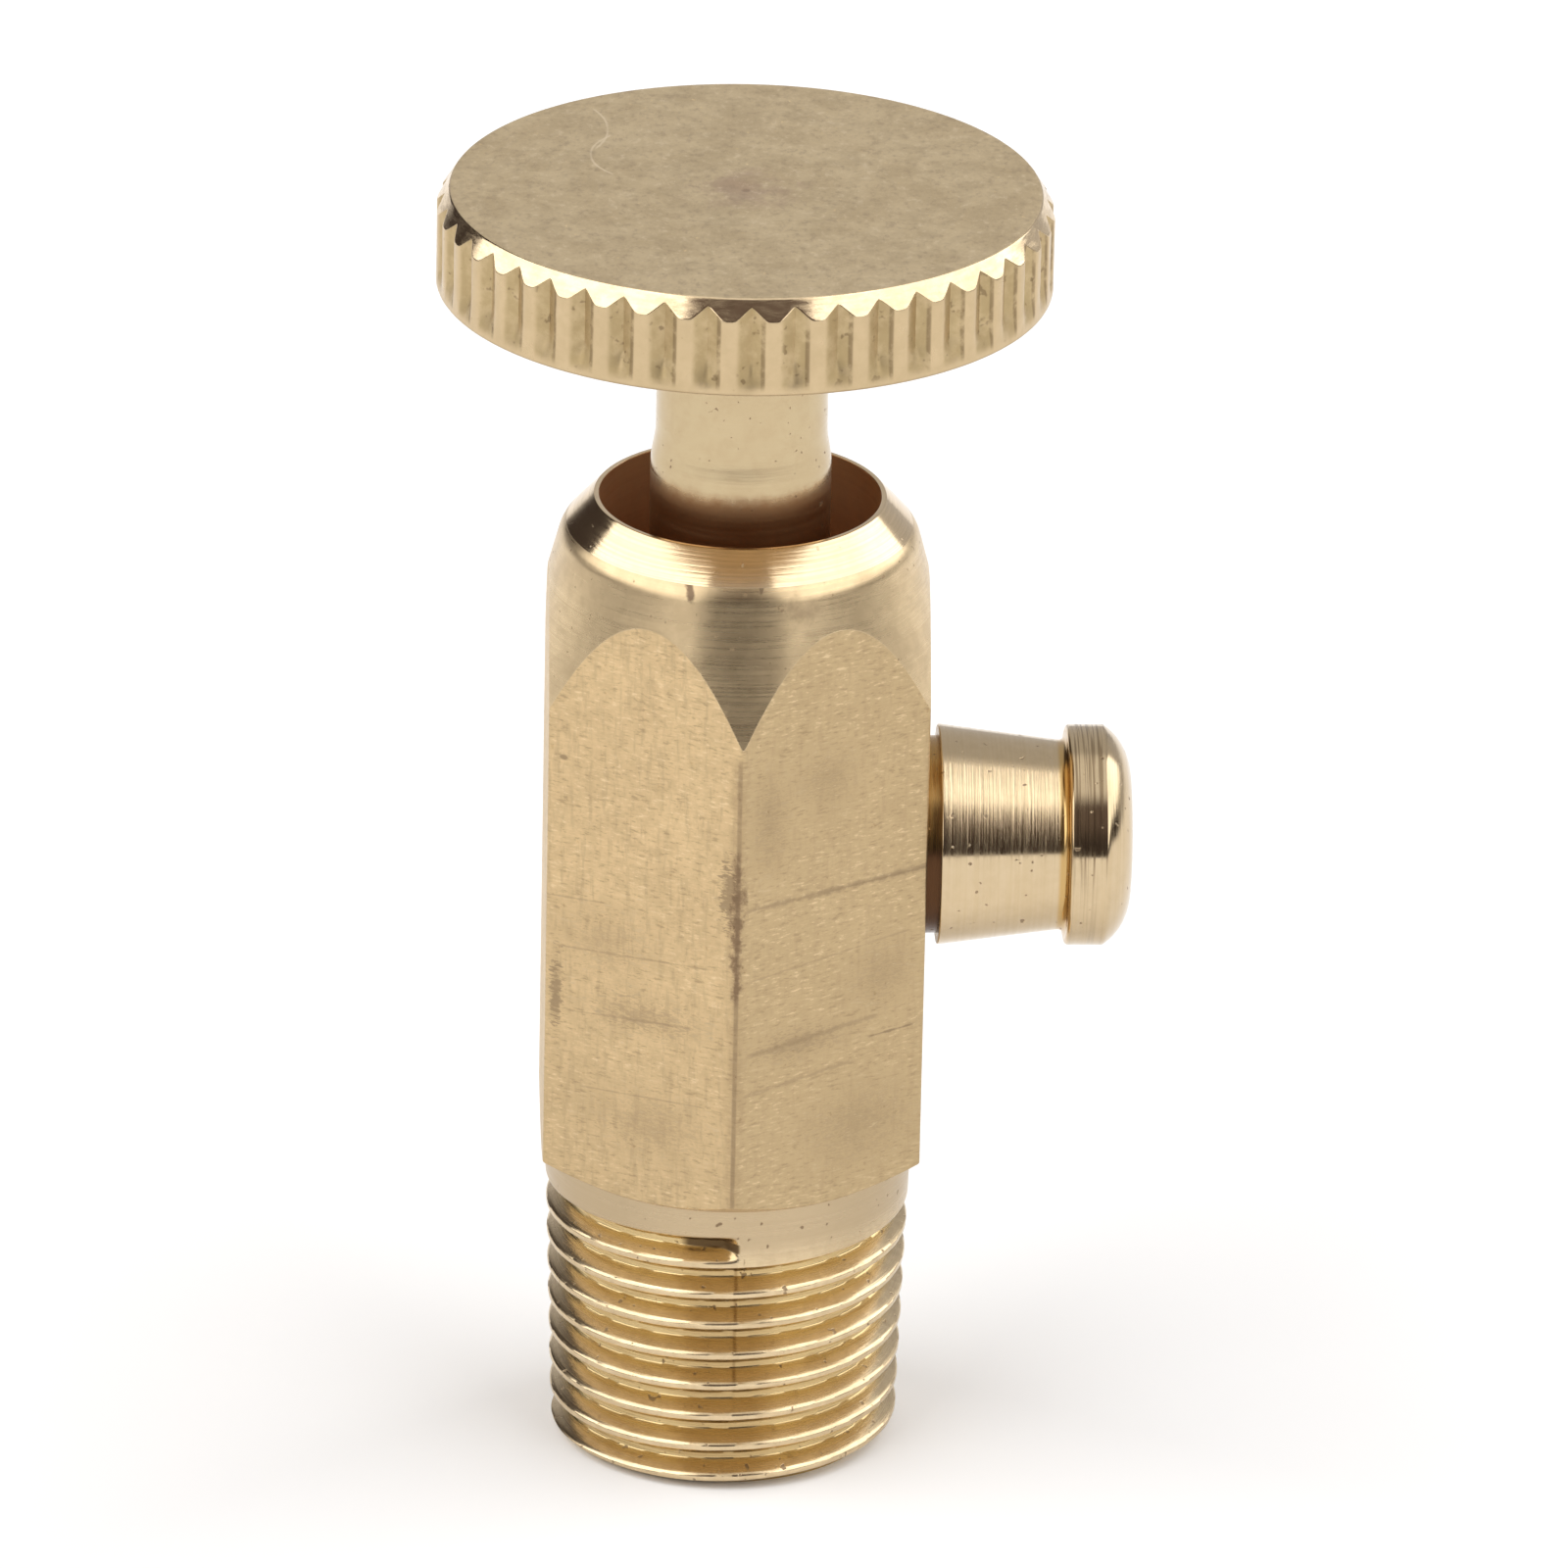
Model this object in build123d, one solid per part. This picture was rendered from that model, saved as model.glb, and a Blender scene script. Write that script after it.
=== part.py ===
from build123d import *
import math
import os

# Drain valve: a hexagon-bar body with a taper pipe thread, a hose nipple pressed into one of
# its faces, and a knob turned in one piece with the spindle that screws down on the seat.
# The origin is the centre of the thread's end face. +Z runs up the spindle, +X along the nipple.

# Pipe thread on the foot, 28 threads per inch on a 1 in 16 taper
thread_major_dia = 9.728
thread_pitch = 25.4 / 28
thread_taper = 1 / 16
thread_depth = 0.50
thread_crest_share = 0.18
thread_root_share = 0.24
thread_length = 7.54
thread_end_chamfer = 0.24
thread_end_angle_deg = -86.0

# Hexagon and neck
neck_length = 0.74
hex_across_flats = 10.0
hex_length = 18.52
hex_foot_inset = 0.13
hex_foot_cone_deg = 30.0

# Shoulder and lip above the hexagon
shoulder_half_angle_deg = 15.0
lip_bevel_height = 0.95
lip_bevel_width = 0.87
lip_bevel_round = 1.75
lip_land = 0.13

# Seal bore, tapped hole, seat and inlet hole inside the body
seal_bore_dia = 7.4
screw_pitch_dia = 5.35
seat_dia = 3.0
seat_length = 2.0
inlet_dia = 4.0
drill_half_angle_deg = 59.0

# Outlet: the height of the nipple above the hexagon's foot, and of the seat below the nipple
outlet_height = 8.81
seat_below_outlet = 2.1
outlet_dia = 3.0

# Hose nipple
nipple_shank_dia = 4.4
nipple_shank_length = 1.6
nipple_undercut_dia = 5.24
nipple_undercut_width = 0.38
nipple_barrel_dia = 5.86
nipple_waist_dia = 4.98
nipple_barrel_length = 3.38
nipple_collar_dia = 5.85
nipple_collar_width = 1.0
nipple_nose_length = 0.72
nipple_end_land = 0.1
press_interference = 0.01

# Knob
knob_dia = 16.08
knob_thickness = 2.56
knob_gap = 5.99
knob_bevel_height = 0.53
knob_bevel_width = 0.34
flute_count = 44
flute_depth = 0.22
flute_half_angle_deg = 62.0
flute_runout = 0.28
flute_land = 0.06
flute_turn_deg = -0.63

# Stem between the knob and the seal collar
stem_dia = 4.5
stem_foot_dia = 4.74
stem_flare_height = 1.1
stem_flare_length = 0.7

# Seal collar and its ring
open_lift = 2.25
seal_cover = 0.55
collar_wall = 0.3
seal_groove_width = 1.3
seal_cord_dia = 0.96
collar_rest_gap = 0.5

# Screw and cone tip
screw_overlap = 0.8
spindle_neck_dia = 3.8
tip_end_dia = 0.8
tip_half_angle_deg = 45.0

# Fits, as gaps on the radius or along the axis
collar_gap = 0.08
seal_gap = 0.02
screw_gap = 0.03
seat_gap = 0.02
cut_over = 0.5
thread_cut_over_share = 0.1


# Levels up the spindle axis
hex_foot_z = thread_length + neck_length
lip_z = hex_foot_z + hex_length
outlet_z = hex_foot_z + outlet_height
seat_z = outlet_z - seat_below_outlet
collar_height = seal_groove_width + 2 * collar_wall
seal_bore_depth = collar_rest_gap + collar_height + open_lift + seal_cover
seal_bore_z = lip_z - seal_bore_depth
collar_z = seal_bore_z + collar_rest_gap
knob_z = lip_z + knob_gap

# Radii and places shared by pieces that fit together
hex_face_x = hex_across_flats / 2
hex_corner_r = hex_face_x / math.cos(math.radians(30))
seal_bore_r = seal_bore_dia / 2
screw_r = screw_pitch_dia / 2
seat_r = seat_dia / 2
knob_r = knob_dia / 2


def slope(width, half_angle_deg):
    return width / math.tan(math.radians(half_angle_deg))


def outline(points):
    return make_face(Polyline(*points, close=True))


def turned(points):
    return revolve(Plane.XZ * outline(points), Axis.Z)


def thread_r(z):
    return thread_major_dia / 2 - (thread_length - z) * thread_taper / 2


def threaded_foot():
    # Thread and neck on one taper, run up inside the hexagon
    top_z = hex_foot_z + cut_over
    chamfer_r = thread_r(thread_end_chamfer)
    blank = turned(
        [
            (0, 0),
            (chamfer_r - thread_end_chamfer, 0),
            (chamfer_r, thread_end_chamfer),
            (thread_r(top_z), top_z),
            (0, top_z),
        ]
    )

    # The groove is a trapezoid carried up a conical helix that stops short below the neck
    mouth_width = thread_pitch * (1 - thread_crest_share)
    root_width = thread_pitch * thread_root_share
    clear = thread_depth * thread_cut_over_share
    clear_width = mouth_width + (mouth_width - root_width) * thread_cut_over_share
    start_z = -thread_pitch
    path = Pos(0, 0, start_z) * Helix(
        pitch=thread_pitch,
        height=thread_length - mouth_width / 2 - start_z,
        radius=thread_r(start_z),
        cone_angle=math.degrees(math.atan(thread_taper / 2)),
    )
    section = outline(
        [
            (-thread_depth, -root_width / 2),
            (clear, -clear_width / 2),
            (clear, clear_width / 2),
            (-thread_depth, root_width / 2),
        ]
    )
    start = Plane(origin=path @ 0, x_dir=(1, 0, 0), z_dir=path % 0)
    groove = sweep(start * section, path=path, is_frenet=True)

    # Turned as a whole so that the groove's end lies where it is wanted
    end = path @ 1
    end_angle_deg = math.degrees(math.atan2(end.Y, end.X))
    return Rot(0, 0, thread_end_angle_deg - end_angle_deg) * (blank - groove)


def valve_body():
    # Hexagon bar trimmed by the cones of its foot, shoulder and lip
    bar = Pos(0, 0, hex_foot_z) * extrude(
        RegularPolygon(hex_face_x, 6, major_radius=False, rotation=30), amount=hex_length
    )
    foot_r = hex_face_x - hex_foot_inset
    foot_rise = (hex_corner_r - foot_r) * math.tan(math.radians(hex_foot_cone_deg))
    mouth_r = seal_bore_r + lip_land
    bevel_r = mouth_r + lip_bevel_width
    bevel_z = lip_z - lip_bevel_height
    shoulder_drop = slope(hex_corner_r - bevel_r, shoulder_half_angle_deg)
    half_section = outline(
        [
            (0, hex_foot_z),
            (foot_r, hex_foot_z),
            (hex_corner_r, hex_foot_z + foot_rise),
            (hex_corner_r, bevel_z - shoulder_drop),
            (bevel_r, bevel_z),
            (mouth_r, lip_z),
            (0, lip_z),
        ]
    )
    bevel_corner = half_section.vertices().sort_by_distance((bevel_r, bevel_z, 0))[0]
    envelope = revolve(Plane.XZ * fillet(bevel_corner, lip_bevel_round), Axis.Z)
    outside = threaded_foot() + (bar & envelope)

    # Inlet hole, seat, tapped hole and seal bore, one above the other
    inlet_r = inlet_dia / 2
    inlet_top_z = seat_z - seat_length - slope(inlet_r - seat_r, drill_half_angle_deg)
    bores = turned(
        [
            (0, -cut_over),
            (inlet_r, -cut_over),
            (inlet_r, inlet_top_z),
            (seat_r, seat_z - seat_length),
            (seat_r, seat_z),
            (screw_r, seat_z + slope(screw_r - seat_r, drill_half_angle_deg)),
            (screw_r, seal_bore_z),
            (seal_bore_r, seal_bore_z),
            (seal_bore_r, lip_z + cut_over),
            (0, lip_z + cut_over),
        ]
    )

    # Side hole: a drilled outlet, opened out for the nipple's shank
    sideways = Plane(origin=(0, 0, outlet_z), x_dir=(0, 1, 0), z_dir=(1, 0, 0))
    drilled = extrude(sideways * Circle(outlet_dia / 2), amount=hex_face_x)
    shank_seat = extrude(
        sideways.offset(hex_face_x - nipple_shank_length) * Circle(nipple_shank_dia / 2),
        amount=nipple_shank_length + cut_over,
    )
    return outside - bores - drilled - shank_seat


def drain_nipple():
    # Profile along the nipple, from the end of the shank to the nose, turned about +X
    face_x = hex_face_x
    barrel_x = face_x + nipple_undercut_width
    collar_x = barrel_x + nipple_barrel_length
    nose_x = collar_x + nipple_collar_width
    end_x = nose_x + nipple_nose_length
    bore_r = outlet_dia / 2
    shank_r = nipple_shank_dia / 2 + press_interference
    undercut_r = nipple_undercut_dia / 2
    barrel_r = nipple_barrel_dia / 2
    waist_r = nipple_waist_dia / 2
    collar_r = nipple_collar_dia / 2
    straight = Polyline(
        (nose_x, collar_r),
        (collar_x, collar_r),
        (collar_x, waist_r),
        (barrel_x, barrel_r),
        (barrel_x, undercut_r),
        (face_x, undercut_r),
        (face_x, shank_r),
        (face_x - nipple_shank_length, shank_r),
        (face_x - nipple_shank_length, bore_r),
        (end_x, bore_r),
        (end_x, bore_r + nipple_end_land),
    )
    nose = TangentArc(straight @ 1, straight @ 0, tangent=(0, 1))
    profile = Plane.XZ * make_face(Curve() + [straight, nose])
    return Pos(0, 0, outlet_z) * revolve(profile, Axis.X)


def flute_cutter():
    # One V flute: straight down from the knob's top, then running out of the rim above a plain edge
    half_width = flute_depth * math.tan(math.radians(flute_half_angle_deg))
    runout_z = flute_land + flute_runout
    notch = Pos(0, 0, runout_z) * outline(
        [
            (knob_r - flute_depth, 0),
            (knob_r + flute_depth, 2 * half_width),
            (knob_r + flute_depth, -2 * half_width),
        ]
    )
    lean = Vector(flute_depth, 0, -flute_runout)
    leaning = extrude(notch, amount=lean.length * runout_z / flute_runout, dir=lean)
    return extrude(notch, amount=knob_thickness) + leaning


def knob_spindle():
    # Turned outline from the cone tip up to the knob's top face
    tip_r = tip_end_dia / 2
    neck_r = spindle_neck_dia / 2
    male_r = screw_r - screw_gap
    collar_r = seal_bore_r - collar_gap
    groove_r = seal_bore_r - 2 * seal_gap - seal_cord_dia
    stem_r = stem_dia / 2
    stem_foot_r = stem_foot_dia / 2
    tip_lift = seat_gap / math.sin(math.radians(tip_half_angle_deg))
    contact_z = seat_z + tip_lift
    tip_z = contact_z - slope(seat_r - tip_r, tip_half_angle_deg)
    neck_z = contact_z + slope(neck_r - seat_r, tip_half_angle_deg)
    screw_z = outlet_z + screw_overlap
    groove_z = collar_z + collar_wall
    flare_z = lip_z + stem_flare_height
    spindle = turned(
        [
            (0, tip_z),
            (tip_r, tip_z),
            (neck_r, neck_z),
            (neck_r, screw_z),
            (male_r, screw_z + male_r - neck_r),
            (male_r, collar_z),
            (collar_r, collar_z),
            (collar_r, groove_z),
            (groove_r, groove_z),
            (groove_r, groove_z + seal_groove_width),
            (collar_r, groove_z + seal_groove_width),
            (collar_r, collar_z + collar_height),
            (stem_foot_r, collar_z + collar_height),
            (stem_foot_r, flare_z),
            (stem_r, flare_z + stem_flare_length),
            (stem_r, knob_z + knob_thickness / 2),
            (0, knob_z + knob_thickness / 2),
        ]
    )
    knob_top_z = knob_z + knob_thickness
    blank = turned(
        [
            (0, knob_z),
            (knob_r, knob_z),
            (knob_r, knob_top_z - knob_bevel_height),
            (knob_r - knob_bevel_width, knob_top_z),
            (0, knob_top_z),
        ]
    )
    flute = Pos(0, 0, knob_z) * flute_cutter()
    flutes = [Rot(0, 0, flute_turn_deg + 360 * i / flute_count) * flute for i in range(flute_count)]
    return spindle + (blank - flutes)


def stem_seal_ring():
    # Round cord midway up the collar's groove, just clear of the groove's floor and the seal bore
    cord_r = seal_cord_dia / 2
    ring_r = seal_bore_r - seal_gap - cord_r
    return Pos(0, 0, collar_z + collar_height / 2) * Torus(ring_r, cord_r)


def write_parts():
    os.makedirs("parts", exist_ok=True)
    for make in (valve_body, drain_nipple, knob_spindle, stem_seal_ring):
        export_step(make(), f"parts/{make.__name__}.step")


write_parts()
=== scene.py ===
import math

import bpy
import numpy as np
from mathutils import Matrix, Vector


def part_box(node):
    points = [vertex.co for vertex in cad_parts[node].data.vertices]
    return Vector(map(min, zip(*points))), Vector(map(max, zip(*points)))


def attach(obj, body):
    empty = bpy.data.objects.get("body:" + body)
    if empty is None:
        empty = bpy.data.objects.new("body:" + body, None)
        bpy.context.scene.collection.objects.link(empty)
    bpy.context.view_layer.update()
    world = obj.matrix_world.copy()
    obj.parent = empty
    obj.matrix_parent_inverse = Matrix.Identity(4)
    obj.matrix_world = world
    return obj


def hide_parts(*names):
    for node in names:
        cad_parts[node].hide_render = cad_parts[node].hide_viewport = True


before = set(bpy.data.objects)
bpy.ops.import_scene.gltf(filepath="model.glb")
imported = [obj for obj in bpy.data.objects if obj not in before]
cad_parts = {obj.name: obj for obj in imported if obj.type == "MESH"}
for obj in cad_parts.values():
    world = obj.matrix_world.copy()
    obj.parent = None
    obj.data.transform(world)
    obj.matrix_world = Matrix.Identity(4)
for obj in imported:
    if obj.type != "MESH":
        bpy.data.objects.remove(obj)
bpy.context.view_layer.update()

mm = 0.001  # part sizes below are written in millimetres


# Sizes read from the frame, in millimetres
def boxMm(node):
    low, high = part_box(node)
    return np.array(low) / mm, np.array(high) / mm


bodyHigh = boxMm("valve_body")[1]
nippleLow, nippleHigh = boxMm("drain_nipple")
spindleLow, spindleHigh = boxMm("knob_spindle")
lipZ = bodyHigh[2]
hexFaceX = bodyHigh[0]
outletZ = (nippleLow[2] + nippleHigh[2]) / 2
noseX = nippleHigh[0]
shankX = nippleLow[0]
knobTopZ = spindleHigh[2]
tipZ = spindleLow[2]


# Camera: where the photograph was taken from
cameraView = {
    "elevationDeg": 23.52,
    "azimuthDeg": -2.33,
    "rollDeg": 1.21,  # the object's top leans to the right in the picture
    "distanceMm": 395.77,  # to the foot of the thread
    "asideMm": 1.663,
    "aboveMm": 16.958,
    "lensMm": 337.5,
    "sensorMm": 36.0,
    "clipStartM": 0.01,
}


def photoCamera(settings):
    el, az, roll = (math.radians(settings[k]) for k in ("elevationDeg", "azimuthDeg", "rollDeg"))
    forward = Vector((-math.sin(az) * math.cos(el), math.cos(az) * math.cos(el), -math.sin(el)))
    side = Vector((math.cos(az), math.sin(az), 0.0))
    upright = side.cross(forward)
    right = side * math.cos(roll) + upright * math.sin(roll)
    up = upright * math.cos(roll) - side * math.sin(roll)
    place = right * settings["asideMm"] + up * settings["aboveMm"] - forward * settings["distanceMm"]
    lens = bpy.data.cameras.new("photoCamera")
    lens.sensor_width = settings["sensorMm"]
    lens.lens = settings["lensMm"]
    lens.clip_start = settings["clipStartM"]
    holder = bpy.data.objects.new("photoCamera", lens)
    turn = Matrix((right, up, -forward)).transposed().to_4x4()
    holder.matrix_world = Matrix.Translation(place * mm) @ turn
    bpy.context.scene.collection.objects.link(holder)
    bpy.context.scene.camera = holder


photoCamera(cameraView)
print("camera placed")


# Surface building
surfaceRules = {
    "tiny": 1e-9,  # keeps divisions and roundings safe
    "rowSlack": 1e-6,
    "supportShare": 0.2,  # most of a run that may lie between its end and the extra row beside it
    "trimShare": 0.45,  # most of a run that one fillet may take
    "sharpDeg": 42.0,
}


def runRows(start, end, steps, support):
    # Points on the straight run from start to end, ends left out, with one extra row close to each end
    length = np.linalg.norm(end - start, axis=-1, keepdims=True)
    near = np.minimum(support / np.maximum(length, surfaceRules["tiny"]), surfaceRules["supportShare"])
    rows = [start + (end - start) * near]
    rows += [start + (end - start) * (i / steps) for i in range(1, steps)]
    rows += [end - (end - start) * near]
    return np.array(rows)


def roundedRows(keys, trims, steps, closed, arcSteps=4, support=0.03):
    # A profile through key points: straight runs, and at each key a circular fillet that starts and ends
    # a trim length away from it. Keys are (key, column, 2). Returns the rows and each row's run number.
    count = len(keys)
    before, after = np.roll(keys, 1, axis=0), np.roll(keys, -1, axis=0)
    toBefore, toAfter = before - keys, after - keys
    lenBefore = np.linalg.norm(toBefore, axis=-1, keepdims=True)
    lenAfter = np.linalg.norm(toAfter, axis=-1, keepdims=True)
    toBefore = toBefore / np.maximum(lenBefore, surfaceRules["tiny"])
    toAfter = toAfter / np.maximum(lenAfter, surfaceRules["tiny"])
    room = surfaceRules["trimShare"] * np.minimum(lenBefore, lenAfter)
    trim = np.minimum(np.array(trims)[:, None, None], room)
    starts, ends = keys + toBefore * trim, keys + toAfter * trim
    turnCos = -(toBefore * toAfter).sum(axis=-1, keepdims=True)
    weight = np.sqrt(np.clip((1 + turnCos) / 2, 0.0, 1.0))
    rows, runs = [], []
    for k in range(count):
        if trims[k] > 0:
            t = np.linspace(0, 1, arcSteps + 1)[:, None, None]
            low, mid, high = (1 - t) ** 2, 2 * t * (1 - t) * weight[k], t ** 2
            arc = (low * starts[k] + mid * keys[k] + high * ends[k]) / (low + mid + high)
        else:
            arc = keys[k][None]
        rows.append(arc)
        half = len(arc) // 2
        runs += [(k - 1) % count] * half + [k] * (len(arc) - half)
        if steps[k] and (closed or k < count - 1):
            run = runRows(ends[k], starts[(k + 1) % count], steps[k], support)
            rows.append(run)
            runs += [k] * len(run)
    return np.concatenate(rows), np.array(runs)


def gridMesh(name, grid, closedRows, rowFinish):
    # Quads between neighbouring rows and columns. Columns wrap round. Rows wrap too, or end in two poles.
    rowCount, colCount = grid.shape[:2]
    cols = np.arange(colCount)
    nextCols = (cols + 1) % colCount
    if closedRows:
        points = grid.reshape(-1, 3)
        lower = np.arange(rowCount)[:, None] * colCount
        upper = np.roll(lower, -1, axis=0)
        faceFinish = np.repeat(rowFinish, colCount)
        caps = np.empty((0, 3), int)
    else:
        points = np.concatenate([grid[1:-1].reshape(-1, 3), grid[0, :1], grid[-1, :1]])
        lower = np.arange(rowCount - 3)[:, None] * colCount
        upper = lower + colCount
        faceFinish = np.repeat(rowFinish[1:-2], colCount)
        firstPole, lastPole = len(points) - 2, len(points) - 1
        lastRow = (rowCount - 3) * colCount
        capA = np.stack([np.full(colCount, firstPole), nextCols, cols], axis=-1)
        capB = np.stack([np.full(colCount, lastPole), lastRow + cols, lastRow + nextCols], axis=-1)
        caps = np.concatenate([capA, capB])
        faceFinish = np.concatenate([faceFinish, np.repeat(rowFinish[[0, -2]], colCount)])
    quads = np.stack([lower + cols, lower + nextCols, upper + nextCols, upper + cols], axis=-1).reshape(-1, 4)
    corners = points[quads]
    across = np.cross(corners[:, 1] - corners[:, 0], corners[:, 2] - corners[:, 0])
    across += np.cross(corners[:, 2] - corners[:, 0], corners[:, 3] - corners[:, 0])
    if (across * corners.mean(axis=1)).sum() < 0:  # a negative volume means the faces look inwards
        quads, caps = quads[:, ::-1], caps[:, ::-1]
    mesh = bpy.data.meshes.new(name)
    mesh.from_pydata((points * mm).tolist(), [], quads.tolist() + caps.tolist())
    mesh.polygons.foreach_set("material_index", faceFinish.astype(np.int32))
    mesh.update()
    return mesh


def smoothShade(mesh):
    mesh.polygons.foreach_set("use_smooth", np.ones(len(mesh.polygons), bool))
    mesh.set_sharp_from_angle(angle=math.radians(surfaceRules["sharpDeg"]))
    mesh.update()


def addPiece(name, mesh, body, node, finishes):
    for finish in finishes:
        mesh.materials.append(finish)
    piece = bpy.data.objects.new(name, mesh)
    bpy.context.scene.collection.objects.link(piece)
    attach(piece, body)
    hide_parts(node)
    return piece


def softClamp(x, blur):
    # x held between 0 and 1, with both corners rounded by a moving average of half width blur
    def area(v):
        return np.where(v < 0, 0.0, np.where(v < 1, v * v / 2, v - 0.5))
    return (area(x + blur) - area(x - blur)) / (2 * blur)


# Finishes: brass as turned, drawn, faced and left a little tarnished
def nodeOf(tree, kind, **values):
    node = tree.nodes.new(kind)
    for key, value in values.items():
        setattr(node, key, value)
    return node


def feed(tree, socket, value):
    if isinstance(value, bpy.types.NodeSocket):
        tree.links.new(value, socket)
    else:
        socket.default_value = value


def calc(tree, operation, a, b=0.0, c=0.0, clamp=False):
    node = nodeOf(tree, "ShaderNodeMath", operation=operation, use_clamp=clamp)
    for socket, value in zip(node.inputs, (a, b, c)):
        feed(tree, socket, value)
    return node.outputs[0]


def times(tree, a, b):
    return calc(tree, operation="MULTIPLY", a=a, b=b)


def rise(tree, value, low, high, outLow=0.0, outHigh=1.0):
    node = nodeOf(tree, "ShaderNodeMapRange", interpolation_type="SMOOTHSTEP")
    for socket, v in zip(node.inputs, (value, low, high, outLow, outHigh)):
        feed(tree, socket, v)
    return node.outputs[0]


def mixColour(tree, factor, a, b):
    # A mix node's colours are its inputs 6 and 7 and its output 2
    node = nodeOf(tree, "ShaderNodeMix", data_type="RGBA")
    feed(tree, node.inputs[0], factor)
    feed(tree, node.inputs[6], a)
    feed(tree, node.inputs[7], b)
    return node.outputs[2]


def noise(tree, vector, scale, detail=3.0, rough=0.55, distort=0.0):
    node = nodeOf(tree, "ShaderNodeTexNoise")
    feed(tree, node.inputs["Vector"], vector)
    node.inputs["Scale"].default_value = scale
    node.inputs["Detail"].default_value = detail
    node.inputs["Roughness"].default_value = rough
    node.inputs["Distortion"].default_value = distort
    return node.outputs["Fac"]


def vectorOf(tree, x, y, z):
    node = nodeOf(tree, "ShaderNodeCombineXYZ")
    for socket, value in zip(node.inputs, (x, y, z)):
        feed(tree, socket, value)
    return node.outputs[0]


def millimetres(tree):
    # Object coordinates in millimetres, whole and as x, y and z
    place = nodeOf(tree, "ShaderNodeTexCoord").outputs["Object"]
    scaled = nodeOf(tree, "ShaderNodeMapping")
    scaled.inputs["Scale"].default_value = (1 / mm, 1 / mm, 1 / mm)
    tree.links.new(place, scaled.inputs["Vector"])
    parts = nodeOf(tree, "ShaderNodeSeparateXYZ")
    tree.links.new(scaled.outputs[0], parts.inputs[0])
    return scaled.outputs[0], parts.outputs[0], parts.outputs[1], parts.outputs[2]


grainRules = {"leastRadius": 0.05, "alongShare": 0.8, "radiusShare": 1.3}  # how turning lines step on


def grainVector(tree, grain, x, y, z):
    # Where a tool mark lies: long in the direction of the cut, short across it
    around, across = grain["around"], grain["across"]
    if grain["kind"] == "drawn":
        return vectorOf(tree, times(tree, x, around), times(tree, y, around),
                        times(tree, z, across))
    if grain["kind"] == "sideTurned":  # turned about the nipple's axis
        p, q, along = y, calc(tree, "SUBTRACT", z, float(outletZ)), x
    else:
        p, q, along = x, y, z
    radius = distance(tree, p, q)
    safe = calc(tree, "MAXIMUM", radius, grainRules["leastRadius"])
    outward = times(tree, radius, grainRules["radiusShare"])
    step = calc(tree, "SUBTRACT", times(tree, along, grainRules["alongShare"]), outward)
    return vectorOf(tree, times(tree, calc(tree, "DIVIDE", p, safe), around),
                    times(tree, calc(tree, "DIVIDE", q, safe), around),
                    times(tree, step, across))


def within(tree, value, low, high, soft):
    # 1 between low and high, fading to 0 over a soft margin outside them
    return times(tree, rise(tree, value, low - soft, low), rise(tree, value, high + soft, high))


def distance(tree, a, b):
    return calc(tree, "SQRT", calc(tree, "ADD", times(tree, a, a), times(tree, b, b)))


def boxMask(tree, at, low, high, soft):
    # 1 inside a box of x and height, fading to 0 over its soft margins
    inWidth = within(tree, at["x"], low[0], high[0], soft[0])
    return times(tree, inWidth, within(tree, at["z"], low[1], high[1], soft[1]))


def stretched(tree, at, factors):
    # Object coordinates scaled by a separate factor along each axis
    return vectorOf(tree, *(times(tree, at[axis], f) for axis, f in zip("xyz", factors)))


markRules = {
    "frontSoft": 0.3, "raggedScale": 2.4, "raggedDetail": (5.0, 0.7),
    "noiseMiddle": 0.5, "scratchRag": 3, "scratchCore": 0.1, "scratchEnd": 0.25,
}


def frontMask(tree, at):
    # 1 on the side towards the camera, 0 on the far side
    return rise(tree, at["y"], markRules["frontSoft"], -markRules["frontSoft"])


def raggedNoise(tree, at):
    return noise(tree, at["place"], markRules["raggedScale"], *markRules["raggedDetail"])


def scratchMask(tree, across, up, ragged, line):
    # A straight scratch between two points of a face, uneven along its length
    rules, half = markRules, line["half"]
    (startA, startU), (endA, endU) = line["start"], line["end"]
    slope = (endU - startU) / (endA - startA)
    level = calc(tree, "MULTIPLY_ADD", across, slope, startU - startA * slope)
    off = calc(tree, "ABSOLUTE", calc(tree, "SUBTRACT", up, level))
    uneven = calc(tree, "SUBTRACT", ragged, rules["noiseMiddle"])
    off = calc(tree, "MULTIPLY_ADD", uneven, half * rules["scratchRag"], off)
    mask = rise(tree, off, half, half * rules["scratchCore"], 0.0, line["strength"])
    return times(tree, mask, within(tree, across, startA, endA, rules["scratchEnd"]))


def smudgeMask(tree, across, up, ragged, spot):
    # A soft oval with a ragged border
    a = calc(tree, "DIVIDE", calc(tree, "SUBTRACT", across, spot["at"][0]), spot["half"][0])
    u = calc(tree, "DIVIDE", calc(tree, "SUBTRACT", up, spot["at"][1]), spot["half"][1])
    reach = calc(tree, "MULTIPLY_ADD", ragged, spot["rag"], distance(tree, a, u))
    edge = 1.0 + markRules["noiseMiddle"] * spot["rag"]
    return rise(tree, reach, edge, edge - spot["soft"], 0.0, spot["strength"])


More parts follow.
